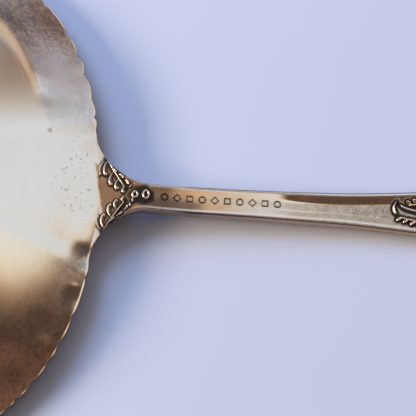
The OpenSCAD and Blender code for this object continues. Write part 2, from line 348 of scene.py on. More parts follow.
def bowl_maker():
    """The bowl as one closed shell, with a tab at the neck that covers the seam of the lap."""
    sizes = {"Half length": bowl_a, "Half width": bowl_b, "Depth": bowl_depth, "Wall": bowl_wall,
             "Scallops": scallop_count, "Scallop depth": scallop_depth, "Crimp height": 0.07 * MM,
             "Rim rise": rim_rise, "Rings": 100, "Points round": 880}
    net = Maker("raised bowl", sizes)
    given = net.given
    edge_place, edge_half = 0.64, 0.04
    rim_crowding = 1.7
    plain, scalloped = math.radians(14), math.radians(20)
    flute_start = 0.92
    scallop_power = 0.6
    notch_mean, notch_change = 0.75, 0.9
    notch_turns = 7, 19
    crest_share = 0.808
    crest_inner, crest_outer = 0.045, 0.15
    crest_height = 0.42 * MM
    crest_from = 13, 17
    crest_past_middle = 0, 12
    tab_length = 0.9 * MM
    tab_start, tab_end = math.radians(4), math.radians(20)
    tab_share = 0.88
    lip_fade = 0.004, 0.002
    edge_in, edge_out = (0.3, 0.9), (2.3, 2.9)
    shift_turns = 31
    scallop_shift = math.radians(0.7)
    wave_scale = 90
    wave_height = 0.05 * MM

    grid = net.add("GeometryNodeMeshGrid", sockets={
        "Size X": 1, "Size Y": 1, "Vertices X": given["Rings"], "Vertices Y": given["Points round"]})
    across, round_about, _ = net.add("GeometryNodeInputPosition").split()
    walk = across + 0.5
    turn = (round_about + 0.5) * TURN

    # The walk goes from the pole of the back to the rim, round its edge and in to the pole of the face
    back_left = (edge_place - edge_half - walk) / (edge_place - edge_half)
    face_done = (walk - edge_place - edge_half) / (1 - edge_place - edge_half)
    away = back_left.most(face_done).clamped()
    share = 1 - away ** rim_crowding
    round_edge = ((walk - edge_place + edge_half) / (2 * edge_half)).clamped() * math.pi
    drop = given["Wall"] * (1 - round_edge.cos()) / 2
    bulge = round_edge.sin() * rim_bulge

    # Scallops of uneven length and depth, which fade out before the neck
    angle = turn + turn.sin() * scallop_spread + (turn * wobble_turns).sin() * scallop_wobble
    angle = angle + (turn * shift_turns + 1).sin() * scallop_shift
    from_neck = math.pi - abs(angle - math.pi)
    notch_depth = (turn * notch_turns[0] + 1).sin() * (turn * notch_turns[1] + 2).sin()
    notch_depth = (notch_mean + notch_depth * notch_change).clamped()
    notch = 1 - abs((turn * given["Scallops"] / 2).sin()) ** scallop_power
    fluted = from_neck.smooth(plain, scalloped)
    scallop = (1 - notch * notch_depth) * fluted
    fade = share.smooth(flute_start, 1)
    c, s = angle.cos(), angle.sin()
    outline = ((abs(c) / given["Half length"]) ** squareness
               + (abs(s) / given["Half width"]) ** squareness) ** (-1 / squareness)
    reach = share * outline + fade * scallop * given["Scallop depth"]
    rim_share = reach / (outline + fluted * given["Scallop depth"])
    tab = (1 - from_neck.smooth(tab_start, tab_end)) * share.smooth(tab_share, 1) * tab_length
    reach = reach + bulge + tab
    x = reach * c + bowl_x
    y = reach * s

    dome = (1 - rim_share ** fullness - lip_drop).most(0) / (1 - lip_drop)
    lift = ((x - neck_x) / rim_lift_length + 1).most(0) ** 2 * given["Rim rise"]
    waves = net.add("ShaderNodeTexNoise", {"noise_dimensions": "3D"},
                    {"Vector": net.point(x, y, 0), "Scale": wave_scale, "Detail": 1})
    z = given["Wall"] + given["Depth"] * dome + lift - drop
    z = z + scallop * fade * given["Crimp height"] + (waves - 0.5) * (1 - fade) * (wave_height * 2)

    # A low crest along the border on the far side, on the half towards the neck
    crest = 1 - (crest_share - share).smooth(0, crest_inner)
    crest = crest * (1 - (share - crest_share).smooth(0, crest_outer))
    crest = crest * (y / MM).smooth(*crest_from)
    crest = crest * ((x - bowl_x) / MM).smooth(*crest_past_middle)
    z = z + crest * crest_height
    for place, size, depth in dents:
        z = z - net.spot(x, y, place, size) * (depth * MM)
    z = z.most(given["Wall"] - drop)

    kept = net.stored(grid, "share", share)
    kept = net.stored(kept, "lip", share.smooth(*(lip_start - before for before in lip_fade)))
    # The side of the rounded rim, which the finish paints dark brown: painted shade.
    side = round_edge.smooth(*edge_in) * (1 - round_edge.smooth(*edge_out))
    kept = net.stored(kept, "edge", side)
    shaped = net.add("GeometryNodeSetPosition", sockets={
        "Geometry": kept, "Position": net.point(x, y, z)})
    net.finish(shaped)
    return net


# Handle, as sections along its stations

def half_width(s):
    """Half the width of the handle: the fillets of the shoulder, the shank and the rounded terminal."""
    reach = np.clip((fillet_end - s) / fillet_length, 0, 1)
    fillet = fillet_spread * (1 - np.sqrt(1 - reach ** 2))
    u = np.clip((s - waist_station) / (broad_station - waist_station), 0, 1)
    shank = mix(waist_width, terminal_width, 1 - (1 - u ** flare_power) ** flare_ease) / 2
    shank = shank + shank_swell * smooth(*shank_swell_in, s) * (1 - smooth(*shank_swell_out, s))
    shank = shank + neck_swell * smooth(*neck_swell_in, s) * (1 - smooth(*neck_swell_out, s))
    end = np.clip((s - broad_station) / (handle_length - broad_station), 0, 1)
    return (shank + fillet) * (1 - end ** end_power) ** end_roundness


def spine(s):
    """Height of the face: it falls to the bend that the handle rests on, and rises to its end."""
    near = (rim_rise - spine_drop) * (1 - s / rest_station) ** 2
    far = end_rise * ((s - rest_station) / (handle_length - rest_station)) ** 2
    return np.where(s < rest_station, near, far)


def thickness(s):
    neck = mix(neck_thickness, shank_thickness, smooth(neck_thinning, waist_station, s))
    return mix(neck, terminal_thickness, smooth(shank_length, broad_station, s))


def back_edge(s, y):
    return mix(bowl_back(s, y) + lap_edge, spine(s) + thickness(s), smooth(-lap_length, neck_full, s))


def face_edge(s, y):
    return mix(bowl_back(s, y) + lap_film, spine(s), smooth(lap_full, neck_full, s))


def edge_scale(s):
    """How much the chamfer, the thread and the slope shrink where the handle is narrow."""
    narrow = np.minimum(1, widest_share * half_width(s) / edge_insets[-1])
    return narrow * mix(slim_scale, 1, smooth(*slim_stations, s))


def back_height(s, y):
    """Height of the back: chamfer, thread and slope along both edges, then the flat hollow.

    The wings of the shoulder stay plain.
    """
    inset = (half_width(s) - np.abs(y)) / np.maximum(edge_scale(s), 1e-6)
    thick = back_edge(s, y) - face_edge(s, y)
    off_wings = smooth(*wing_stations, s) * (1 - smooth(*wing_reach, np.abs(y)))
    deep = mix(neck_hollow, 1, smooth(*hollow_stations, s))
    drop = np.interp(inset, edge_insets, edge_drops - hollow_drops)
    drop = drop + np.interp(inset, edge_insets, hollow_drops) * deep
    drop = drop * np.clip(thick / full_thickness, 0, 1) * off_wings
    return back_edge(s, y) - np.minimum(drop, deepest_share * thick)


def handle_stations():
    parts = [np.linspace(low, high, count, endpoint=False) for low, high, count in stretches]
    end = 1 - (1 - np.linspace(0, 1, end_sections)) ** end_crowding
    parts.append(broad_station + (handle_length - broad_station) * end * end_reach)
    return np.concatenate(parts)


def half_section(s):
    """Half a section, from the middle of the back over the thread and the side to the middle of the face.

    It holds one point for each place on the section and each station.
    """
    w = half_width(s)
    scale = edge_scale(s)
    inner = w - edge_insets[-1] * scale
    points = []
    for k in np.linspace(0, 1, middle_points)[:-1]:
        points.append((inner * k, back_height(s, inner * k)))
    for inset in edge_insets[::-1]:
        y = w - inset * scale
        points.append((y, back_height(s, y)))
    top = points[-1][1]
    low = face_edge(s, w)
    round_over = np.minimum(side_round * scale, round_share * (top - low))
    for k in (0.3, 0.65, 1.0):
        points.append((w - side_draft * k * scale, mix(top, low + round_over, k)))
    side = w - side_draft * scale
    for k in np.linspace(0, math.pi / 2, round_points)[1:]:
        points.append((side - round_over * (1 - np.cos(k)), low + round_over * (1 - np.sin(k))))
    flat = side - round_over
    deep = groove_depth * smooth(neck_full, waist_station, s) * smooth(0, groove_width, w)
    for k in np.linspace(1, 0, face_points)[1:]:
        y = flat * k
        groove = deep * np.exp(-((w - y - groove_inset * scale) / (groove_half * scale + 1e-9)) ** 2)
        points.append((y, face_edge(s, y) + groove))
    return np.array([np.stack(np.broadcast_arrays(y, z), -1) for y, z in points])


def closed_loft(count, n):
    """Faces round and along rings of n points, with a strip of faces across both ends."""
    i, j = np.meshgrid(np.arange(count - 1), np.arange(n), indexing="ij")
    k = (j + 1) % n
    quads = np.stack([i * n + j, (i + 1) * n + j, (i + 1) * n + k, i * n + k], -1).reshape(-1, 4)
    half = n // 2
    strip = [[i, i + 1, n - i - 1, n - i] for i in range(1, half - 1)]
    cap = [[0, 1, n - 1]] + strip + [[half - 1, half, half + 1]]
    last = (count - 1) * n
    return quads.tolist() + cap + [[v + last for v in face[::-1]] for face in cap]


def mesh_object(name, points, faces, material, attributes=None):
    mesh = bpy.data.meshes.new(name)
    mesh.from_pydata([tuple(p) for p in points], [], faces)
    for key, values in (attributes or {}).items():
        mesh.attributes.new(key, "FLOAT", "POINT").data.foreach_set("value", values.astype(np.float32))
    mesh.materials.append(material)
    mesh.shade_smooth()
    piece = bpy.data.objects.new(name, mesh)
    bpy.context.scene.collection.objects.link(piece)
    return piece


def handle_mesh(material, grounds):
    """The handle as one closed loft, sunk a little where it is blackened and where it is punched."""
    s = handle_stations()
    half = half_section(s)
    other = half[1:-1][::-1] * np.array([-1, 1])
    around = np.concatenate([half, other])
    rings = np.stack([np.broadcast_to(s, around.shape[:2]), around[..., 0], around[..., 1]], -1)
    rings = rings.transpose(1, 0, 2)
    points = rings.reshape(-1, 3).copy()
    back_count = middle_points - 1 + len(edge_insets)
    index = np.arange(rings.shape[1])
    on_back = (index < back_count) | (index > rings.shape[1] - back_count)
    top = np.broadcast_to(on_back, rings.shape[:2]).ravel()
    oxide = dark_ground(points, grounds) * top
    marks = punch_marks(points) * top
    points[:, 2] -= oxide_depth * oxide + punch_depth * marks
    inset = (half_width(points[:, 0]) - np.abs(points[:, 1])) / MM
    points[:, 0] += neck_x
    faces = closed_loft(*rings.shape[:2])
    return mesh_object("handle_silver", points, faces, material,
                       {"oxide": oxide, "marks": marks, "inset": np.where(top, inset, 0)})


def dark_ground(points, grounds):
    """How deep in blackened ground a point of the handle lies.

    The ground lies along the ribs, round the neck curls, and near the pieces in grounds.
    """
    dark = 1 - smooth(*rib_ground, rib_distance(points))
    place, size = (np.array(pair) * MM for pair in neck_ground)
    along, across = ((points[:, :2] - place) / size).T
    turn = np.arctan2(across, along)
    uneven = neck_ground_shrink
    for count, phase, height in neck_ground_waves:
        uneven = uneven + height * np.sin(count * turn + phase)
    dark = np.maximum(dark, 1 - smooth(*neck_ground_edge, np.hypot(along, across) * uneven))
    for piece, near, far in grounds:
        lobes = [v.co for v in piece.data.vertices]
        tree = kdtree.KDTree(len(lobes))
        for i, co in enumerate(lobes):
            tree.insert((co.x - neck_x, co.y, 0), i)
        tree.balance()
        distance = np.array([tree.find((p[0], p[1], 0))[2] for p in points])
        dark = np.maximum(dark, 1 - smooth(near * MM, far * MM, distance))
    return dark


def rib_distance(points):
    """Distance of a point of the handle from the nearer rib, as a straight line."""
    base, tip = (np.array(place) * MM for place in (spray_rib[0], spray_rib[2]))
    here = np.stack([points[:, 0], np.abs(points[:, 1])], -1) - base
    along = np.clip(here @ (tip - base) / ((tip - base) @ (tip - base)), 0, 1)
    return np.hypot(*(here - along[:, None] * (tip - base)).T)


# Row of blank punches on the shank: first and last station in mm, count, distance from the axis and size,
# and the place and the soft half width of their line as shares of the size
punch_row = 8.2, 24.4
punch_count = 10
punch_offset = 0.1 * MM
punch_size = 0.56 * MM
punch_line = 0.8
punch_line_half = 0.12, 0.26


def punch_marks(points):
    """A row of plain blank punches on the back of the shank: circles, diamonds and squares in outline."""
    marks = np.zeros(len(points))
    for i, station in enumerate(np.linspace(*punch_row, punch_count) * MM):
        x = np.abs(points[:, 0] - station) / punch_size
        y = np.abs(points[:, 1] - punch_offset) / punch_size
        circle = np.hypot(x, y)
        diamond = (x + y) / 1.2
        square = np.maximum(x, y) * 1.12
        inside = (circle, diamond, square)[i % 3]
        marks = np.maximum(marks, 1 - smooth(*punch_line_half, np.abs(inside - punch_line)))
    return marks


# Carved lobes, on paths across the metal, with the names of what each point of a seed mesh holds
lobe_places = "base", "bend", "tip"
lobe_numbers = "wide", "tall", "trough", "taper", "lean"


def lobe_maker():
    """Lobes with a ridge beside a trough, one on each point of the seed mesh."""
    sizes = {"Along": 24, "Around": 36, "Sunk": 0.03 * MM}
    net = Maker("carved lobes", sizes)
    given = net.given
    ridge_place, ridge_half = 0.34, 0.7
    base_cap, tip_cap = (0.02, 0.14), (0.68, 0.9)
    base_height = 0.75
    base_blunt, tip_blunt, side_blunt = 4, 6, 4
    ridge_power, ridge_ease, end_ease = 3, 0.6, 0.7
    steepness = 1000
    foot_edge = 0.88, 1.0
    trough_edge = 0.1, 0.6

    grid = net.add("GeometryNodeMeshGrid", sockets={
        "Size X": 1, "Size Y": 1, "Vertices X": given["Along"], "Vertices Y": given["Around"]})
    x, y, _ = net.add("GeometryNodeInputPosition").split()
    lobe = net.stored(grid, "along", x + 0.5)
    lobe = net.stored(lobe, "around", (y + 0.5) * TURN)
    placed = net.add("GeometryNodeInstanceOnPoints", sockets={"Points": given, "Instance": lobe})
    lobes = net.add("GeometryNodeRealizeInstances", sockets={"Geometry": placed})

    a, around = net.read("along"), net.read("around")
    base, bend, tip = (net.read(name, "FLOAT_VECTOR") for name in lobe_places)
    wide, tall, trough, taper, lean = (net.read(name) for name in lobe_numbers)
    rest = 1 - a
    path = net.vector("ADD", net.scaled(base, rest * rest), net.scaled(bend, a * rest * 2))
    path = net.vector("ADD", path, net.scaled(tip, a * a))
    heading = net.vector("ADD", net.scaled(net.vector("SUBTRACT", bend, base), rest),
                         net.scaled(net.vector("SUBTRACT", tip, bend), a))
    hx, hy, _ = net.vector("NORMALIZE", heading).split()
    ends = ((1 - rest ** base_blunt) * (1 - a ** tip_blunt)).most(0) ** 0.5
    b = around.cos()
    half = wide * ends * mix(taper, 1, a)
    px, py, pz = path.split()
    capped = a.smooth(*tip_cap).most(1 - a.smooth(*base_cap))
    off_ridge = (abs(b * abs(lean) - lean * ridge_place) / ridge_half).clamped()
    ridge = (1 - off_ridge ** ridge_power).most(0) ** ridge_ease
    hollow = trough * (1 - ridge.most(capped))
    body = (1 - b ** side_blunt).most(0) ** 0.5 * ends ** end_ease
    top = tall * body * (1 - hollow) * mix(base_height, 1, a)
    upper_half = (around.sin() * steepness).clamped()
    height = pz + upper_half * top - given["Sunk"]
    recess = hollow.smooth(*trough_edge)
    foot = abs(b).smooth(*foot_edge)
    moved = net.add("GeometryNodeSetPosition", sockets={
        "Geometry": lobes, "Position": net.point(px - hy * b * half, py + hx * b * half, height)})
    net.finish(net.stored(net.stored(moved, "recess", recess), "foot", foot))
    return net


def lobe_seed(name, lobes):
    """One point for each lobe, with its path and its sizes as attributes."""
    mesh = bpy.data.meshes.new(name)
    mesh.from_pydata([(0, 0, 0)] * len(lobes), [], [])
    for key in lobe_places:
        values = np.array([lobe[key] for lobe in lobes], np.float32).ravel()
        mesh.attributes.new(key, "FLOAT_VECTOR", "POINT").data.foreach_set("vector", values)
    for key in lobe_numbers:
        values = np.array([lobe[key] for lobe in lobes], np.float32)
        mesh.attributes.new(key, "FLOAT", "POINT").data.foreach_set("value", values)
    return mesh


def lobe(base, bend, tip, wide, tall=0.45, trough=0.75, taper=0.55, lean=1):
    """A lobe on a bent path between places given in mm as (station, distance from the axis).

    Its ridge lies to the left of the path (lean 1) or to the right (-1), beside a trough.
    """
    place = [np.array([p[0], p[1], 0]) * MM for p in (base, bend, tip)]
    return {"base": place[0], "bend": place[1], "tip": place[2], "wide": wide * MM, "tall": tall * MM,
            "trough": trough, "taper": taper, "lean": lean}


def lay_on_metal(piece, up=1):
    """Lifts a flat ornament onto the back of the handle, or hangs it on the face."""
    mesh = piece.data
    co = np.zeros(len(mesh.vertices) * 3, np.float32)
    mesh.vertices.foreach_get("co", co)
    co = co.reshape(-1, 3).astype(float)
    s, y = co[:, 0], co[:, 1]
    co[:, 2] = back_height(s, y) + co[:, 2] if up > 0 else face_edge(s, y) - co[:, 2]
    co[:, 0] += neck_x
    mesh.vertices.foreach_set("co", co.astype(np.float32).ravel())
    if up < 0:
        mesh.flip_normals()
    for name in ("along", "around", "size", *lobe_places, *lobe_numbers):
        if name in mesh.attributes:
            mesh.attributes.remove(mesh.attributes[name])
    mesh.update()
    return piece


# Spray on the shoulder, for the far side: its rib, the petals that hang from it and the buds on the edge
spray_rib = ((-0.4, 5.45), (0.95, 3.1), (2.55, 0.95))
spray_petals = [
    ((-0.75, 5.2), (-1.65, 4.1), (-1.2, 2.9), 0.36, 0.22),
    ((-0.25, 5.05), (-1.05, 3.8), (-0.2, 2.8), 0.44, 0.46),
    ((0.7, 3.4), (-0.15, 2.25), (0.6, 1.3), 0.43, 0.46),
    ((1.5, 2.3), (0.75, 1.45), (1.5, 0.7), 0.4, 0.46),
    ((2.5, 1.25), (1.9, 0.75), (2.45, 0.28), 0.38, 0.46)]
spray_buds = [
    ((0.3, 4.15), (0.7, 3.85), (1.25, 3.3), 0.2),
    ((1.35, 3.1), (1.85, 2.95), (2.3, 2.45), 0.24),
    ((2.35, 2.3), (2.8, 2.05), (3.0, 1.5), 0.26),
    ((3.35, 1.75), (3.35, 1.45), (3.15, 1.1), 0.2)]


def spray_lobes(side):
    def flip(*places):
        return [(s, side * y) for s, y in places]

    lobes = [lobe(*flip(*spray_rib), 0.15, 0.5, 0, 0.7)]
    for base, bend, tip, wide, tall in spray_petals:
        lobes.append(lobe(*flip(base, bend, tip), wide, tall, lean=-side))
    for base, bend, tip, wide in spray_buds:
        lobes.append(lobe(*flip(base, bend, tip), wide, 0.36, 0.4, lean=side))
    return lobes


def leaf_lobes(tip, length, margin, pitch, spread):
    """A leaf with its tip towards the bowl: a crescent, a band with leaflets on each side, and long ribs.

    Its sizes are in mm: the leaflets' first pitch, the spread at the tip, and the margin to the edge.
    """
    far = tip + length

    def envelope(s):
        u = (s - tip) / length
        full = float(half_width(np.array(s * MM)) / MM) - margin
        return min(full, spread + 0.32 * (s - tip)) * (1 - 0.6 * float(smooth(0.5, 1.0, u)))

    def strip(s0, s1, y0, y1, wide):
        bow = 0.06 * math.copysign(1, y1) * (s1 - s0)
        return lobe((s0, y0), ((s0 + s1) / 2, (y0 + y1) / 2 + bow), (s1, y1), wide, 0.5, 0, 0.85)

    lobes = [lobe((tip + 0.5, 1.4 * spread), (tip - 0.4, 0.55 * spread), (tip + 0.55, -0.4 * spread),
                  0.27, 0.5, 0.3)]
    for side, start in ((-1, 0.5), (1, 1.9)):
        s = tip + start
        step = pitch
        while s < far - 1.6 * step:
            e = envelope(s)
            ahead = envelope(s + 1.3 * step)
            leaflet = (s + 0.95 * step, side * 0.6 * e), (s + 0.4 * step, side * 0.7 * e), (s, side * e)
            lobes.append(lobe(*leaflet, 0.33 * step, 0.46, 0.4, 0.8, -side))
            lobes.append(strip(s + 0.3 * step, s + 1.6 * step, side * 0.6 * e, side * 0.56 * ahead, 0.17))
            s += step
            step *= 1.07
    lobes.append(lobe((tip + 0.95, 1.05 * spread), (tip + 1.25, 0.35 * spread), (tip + 4.5, 0.1),
                      0.2, 0.5, 0, 0.8))
    lobes.append(lobe((tip + 3, 0.3), (tip + 0.5 * length, 0), (far, 0), 0.26, 0.5, 0, 0.7))
    for side in (-1, 1):
        rib = (tip + 0.33 * length, side * 0.95), (tip + 0.7 * length, side * 1.2), (far - 0.4, side * 0.5)
        lobes.append(lobe(*rib, 0.22, 0.46, 0, 0.8))
    return lobes


# Blackened ground along the ribs, from full to none
rib_ground = 0.3 * MM, 0.8 * MM

# Blackened ground of the neck curls: its place and size along and across the handle in mm, by how much
# it is smaller, its soft edge, and the waves of its outline as count, phase and height
neck_ground = (4.95, 0.1), (2.5, 1.9)
neck_ground_shrink = 1.02
neck_ground_edge = 0.65, 1.0
neck_ground_waves = [(3, 0.6, 0.06), (7, 2, 0.04)]

# Curls on the neck, as their places and sizes along and across the handle in mm
curls = [((3.95, 0.12), (0.36, 0.42)), ((5.53, 0.22), (0.4, 0.58))]
curl_tail = ((3.72, -0.3), (3.5, -0.75), (3.75, -1.08), 0.19, 0.4, 0, 0.9)


def curl_maker():
    """Oval rings of round rod with a flat foot, one on each point of the seed mesh."""
    sizes = {"Rod": 0.21 * MM, "Points round": 40, "Points across": 14, "Rise": 1.7}
    net = Maker("ring curls", sizes)
    given = net.given
    ring = net.add("GeometryNodeCurvePrimitiveCircle", sockets={
        "Resolution": given["Points round"], "Radius": 1})
    placed = net.add("GeometryNodeInstanceOnPoints", sockets={
        "Points": given, "Instance": ring["Curve"], "Scale": net.read("size", "FLOAT_VECTOR")})
    rings = net.add("GeometryNodeRealizeInstances", sockets={"Geometry": placed})
    rod = net.add("GeometryNodeCurvePrimitiveCircle", sockets={
        "Resolution": given["Points across"], "Radius": given["Rod"]})
    tubes = net.add("GeometryNodeCurveToMesh", sockets={"Curve": rings, "Profile Curve": rod["Curve"]})
    x, y, z = net.add("GeometryNodeInputPosition").split()
    raised = net.add("GeometryNodeSetPosition", sockets={
        "Geometry": tubes, "Position": net.point(x, y, (z * given["Rise"]).most(0))})
    net.finish(net.stored(raised, "foot", 1 - (z / given["Rod"]).smooth(-0.1, 0.35)))
    return net


def curl_seed(name):
    mesh = bpy.data.meshes.new(name)
    mesh.from_pydata([(place[0] * MM, place[1] * MM, 0) for place, _ in curls], [], [])
    sizes = np.array([(*size, 1) for _, size in curls], np.float32).ravel() * MM
    mesh.attributes.new("size", "FLOAT_VECTOR", "POINT").data.foreach_set("vector", sizes)
    return mesh


# Finishes

def finish_net(name):
    material = bpy.data.materials.new(name)
    material.use_nodes = True
    net = Net(material.node_tree)
    net.place = net.add("ShaderNodeTexCoord")["Object"]
    return material, net


def attribute(net, name):
    return net.add("ShaderNodeAttribute", {"attribute_name": name})["Fac"]


def noise(net, scale, detail=2, stretch=(1, 1, 1)):
    where = net.vector("MULTIPLY", net.place, stretch)
    return net.add("ShaderNodeTexNoise", {"noise_dimensions": "3D"},
                   {"Vector": where, "Scale": scale, "Detail": detail})["Fac"]


# The grey of the film and the black of the oxide also paint shade and dark reflections, and the pale haze
# also paints highlights and reflections.
SILVER = (0.91, 0.9, 0.885)
WARM = (0.74, 0.48, 0.28)
BROWN = (0.36, 0.2, 0.115)
DUST_AND_SHADE = (0.2, 0.19, 0.195, 1)
OXIDE_AND_SHADE = (0.012, 0.009, 0.008, 1)
HAZE_AND_SHEEN = (0.62, 0.61, 0.66, 1)


def silver_finish(name, look):
    """Worn silver. The look gives tarnish up to brown, oxide and painted shade, grey film and painted dark
    reflections, roughness, and a pale haze with painted highlights and reflections.
    """
    material, net = finish_net(name)
    warm, dark, film_and_shade, rough, haze_and_sheen = look(net)
    speckle = noise(net, 4200, 3)
    mottle = noise(net, 900, 4)
    brushed = noise(net, 1000, 3, (4, 0.3, 1))
    tarnish = (warm + (speckle - 0.5) * 0.5 * warm).clamped()
    tone = net.ramp(tarnish, [(0, SILVER), (0.5, WARM), (1, BROWN)])
    # The film carries grey tarnish and painted dark reflections, and the haze carries painted highlights
    # and reflections.
    patchy = film_and_shade * (1 + (speckle - 0.5) * 2.2 + (mottle - 0.5) * 2)
    tone = net.blend(patchy.clamped(), tone, DUST_AND_SHADE)
    dull = (haze_and_sheen * (1 + (speckle - 0.5) * 1.2 + (mottle - 0.5) * 1.6)).clamped()
    tone = net.blend(dull, tone, HAZE_AND_SHEEN)
    colour = net.blend(dark, tone, OXIDE_AND_SHADE)
    height = brushed * 0.4 + speckle * 0.2
    bump = net.add("ShaderNodeBump", sockets={"Strength": 0.2, "Distance": 0.03 * MM, "Height": height})
    shader = net.add("ShaderNodeBsdfPrincipled", sockets={
        "Base Color": colour,
        "Metallic": (1 - dark * 0.75 - dull * 0.95).clamped(),
        "Roughness": (rough + dark * 0.3 + (brushed - 0.5) * 0.1).clamped(),
        "Normal": bump})
    net.add("ShaderNodeOutputMaterial", sockets={"Surface": shader})
    return material


# Blots of grey, painted dark reflections of the dents on the near side of the neck: place and size in mm,
# and strength
dent_reflection_blots = [((-2.9, -8.7), (2.6, 2.0), 0.7), ((-5.0, -16.0), (2.6, 3.2), 0.2),
              ((-5.0, -11.8), (3.0, 2.6), 0.35), ((-3.3, -10.6), (2.4, 2.0), 0.55)]


def bowl_look(net):
    """Satin with a white centre, a mottled grey border and a bright lip.

    The border is brown on the low side and at the far top, and there are specks by the neck. Its stripe,
    lilac haze and grey blots are painted reflections, and the side of the rim is painted shade.
    """
    x, y, _ = net.place.split()
    share = attribute(net, "share")
    lip = attribute(net, "lip")
    edge = attribute(net, "edge")
    cloud = noise(net, 90, 3)
    ragged = (noise(net, 400, 3) - 0.5) * 0.06
    border = (share + ragged).smooth(0.79, 0.825)
    far_side = (y / MM).smooth(7, 22)
    low_side = (y / MM).smooth(-10, -26)
    # A warm orange stripe along the far border: a painted reflection of a warm band of the room.
    painted_reflection_stripe = share.smooth(0.755, 0.775) * (1 - share.smooth(0.8, 0.815)) * (y / MM).smooth(12, 16)
    # A greyer band just outside it: a painted dark reflection.
    painted_dark_band = share.smooth(0.8, 0.815) * (1 - share.smooth(0.85, 0.88)) * (y / MM).smooth(15, 21)
    station = (x - neck_x) / MM
    hollow = (station + y / MM * 0.2 + ragged * 10).smooth(-1.3, -0.9)
    hollow = hollow * (1 - (abs(y / MM) + ragged * 12).smooth(3.8, 5.2))
    top = (y / MM).smooth(22, 27)
    warm = border * (far_side * 0.08 + top * 0.4 + low_side * 0.3) + painted_reflection_stripe * 0.4 + (cloud - 0.55) * 0.2
    # The side of the rim turns warm and dark here: painted shade.
    warm = warm * (1 - lip * 0.8) + lip * 0.12 + edge * 0.9 + hollow * 0.8
    # Grey blots and a little lilac haze on the near side of the neck: painted dark reflections of the
    # dents.
    painted_reflection_blots = sum(net.spot(x, y, place, size) * strength for place, size, strength in dent_reflection_blots)
    grains = (noise(net, 2200, 4) - 0.5) * border * (low_side * 1.5 + far_side * 1.6 + 0.2)
    film_and_shade = border * ((y / MM).smooth(17, 26) * 0.4 + top * 0.2 + low_side * 0.12)
    film_and_shade = film_and_shade + painted_dark_band * 0.25 + painted_reflection_blots + grains
    film_and_shade = (film_and_shade.most(0) + 0.03) * (1 - lip)
    # Lilac haze on the far border: a painted reflection of the pale table.
    painted_lilac_reflection = (y / MM).smooth(7, 13) * (1 - (y / MM).smooth(18, 24) * 0.85)
    haze_and_sheen = border * (painted_lilac_reflection * 0.45 + low_side * 0.05) + painted_reflection_blots * 0.35
    haze_and_sheen = haze_and_sheen * (1 - lip)
    stain = net.spot(x, y, (-8.5, 8.0), (0.5, 0.5)) * 0.4
    worn = net.spot(x, y, (-4.0, 2.0), (5, 9))
    specks = noise(net, 1300, 3).smooth(0.6, 0.7) * worn
    # The side of the rim also darkens here: painted shade.
    dark = (specks * 0.4 + stain + edge * 0.6).clamped()
    return warm.clamped(), dark, film_and_shade, 0.19 + border * far_side * 0.05, haze_and_sheen


def handle_look(net):
    """Copper brown on the shoulder and the neck, bright threads with a painted highlight, painted shade
    along the edges, a painted dark reflection on the lower wing, a grey flat and black by the leaves.
    """
    x, y, _ = net.place.split()
    station = (x - neck_x) / MM
    inset = attribute(net, "inset")
    ragged = (noise(net, 500, 3) - 0.5) * 1.6
    hollow = (station + y / MM * 0.2 + ragged * 0.4).smooth(-1.3, -0.9)
    hollow = hollow * (1 - (abs(y / MM) + ragged * 0.5).smooth(3.8, 5.2))
    copper = 1 - (station + ragged * 3).smooth(11, 28)
    shoulder = 1 - station.smooth(3, 6)
    thread = inset.smooth(0.2, 0.28) * (1 - inset.smooth(0.54, 0.64)) * station.smooth(1, 9)
    chamfer = (1 - inset.smooth(0.14, 0.22)) * station.smooth(2, 5)
    upper = (y / MM).smooth(0.3, 0.9)
    lower = (y / MM).smooth(-0.3, -0.9)
    middle = inset.smooth(1.5, 1.9)
    flat = middle.most(lower * inset.smooth(0.65, 0.9) * 0.7) * station.smooth(18, 30)
    neck = hollow * inset.smooth(0.3, 0.6) * station.smooth(3.5, 6)
    neck = neck * (1 - (station + ragged * 0.6).smooth(8.3, 10.6))
    rich = 1 - station.smooth(9, 14.5)
    # Dark lines just outside the threads, along both edges of the handle: painted shade.
    upper_painted_shade = upper * (1 - inset.smooth(0.26, 0.36))
    lower_painted_shade = lower * inset.smooth(0.01, 0.04) * (1 - inset.smooth(0.14, 0.2))
    painted_edge_shade = upper_painted_shade.most(lower_painted_shade) * station.smooth(9, 13)
    low = (y / MM).smooth(0.2, -0.9) * station.smooth(4, 8) * (1 - station.smooth(11.5, 15))
    cloud = noise(net, 260, 3, (0.4, 1, 1))
    warm = hollow * copper * (0.55 + rich * 0.22 + shoulder * 0.2 + (cloud - 0.5) * 0.8 + low * 0.3)
    warm = warm * (1 - thread * 0.9) + chamfer * 0.6 + flat * 0.25 + (1 - hollow) * 0.22
    # A dark patch on the lower wing: a painted dark reflection of the dent beside it.
    painted_dent_reflection = net.spot(x, y, (-1.9, -8.2), (1.7, 1.6))
    dark = attribute(net, "oxide").most(neck * 0.6) + attribute(net, "marks") * 0.95
    dark = dark + painted_dent_reflection * 0.85 + painted_edge_shade * 0.8 + low * (1 - neck) * 0.3
    film_and_shade = hollow * 0.04 + chamfer * 0.15 + low * 0.3 + flat * (0.25 + station.smooth(22, 42) * 0.3)
    film_and_shade = film_and_shade * (1 - thread)
    # A pale haze on the threads: a painted highlight.
    haze_and_sheen = (chamfer * 0.25 + thread * 0.6) * (1 - painted_edge_shade)
    rough = 0.17 + hollow * 0.06 + flat * 0.1 - thread * 0.06
    return warm.clamped(), dark.clamped(), film_and_shade, rough, haze_and_sheen


def leaf_look(net):
    """Bright warm ridges, with brown in the troughs and black at the foot."""
    recess = attribute(net, "recess")
    foot = attribute(net, "foot")
    warm = (noise(net, 900, 2) * 0.35 + recess * 0.95 + foot * 0.4).clamped()
    dark = (recess * 0.35 + foot * 0.7).clamped()
    return warm, dark, 0.1, 0.2 + recess * 0.2, 0


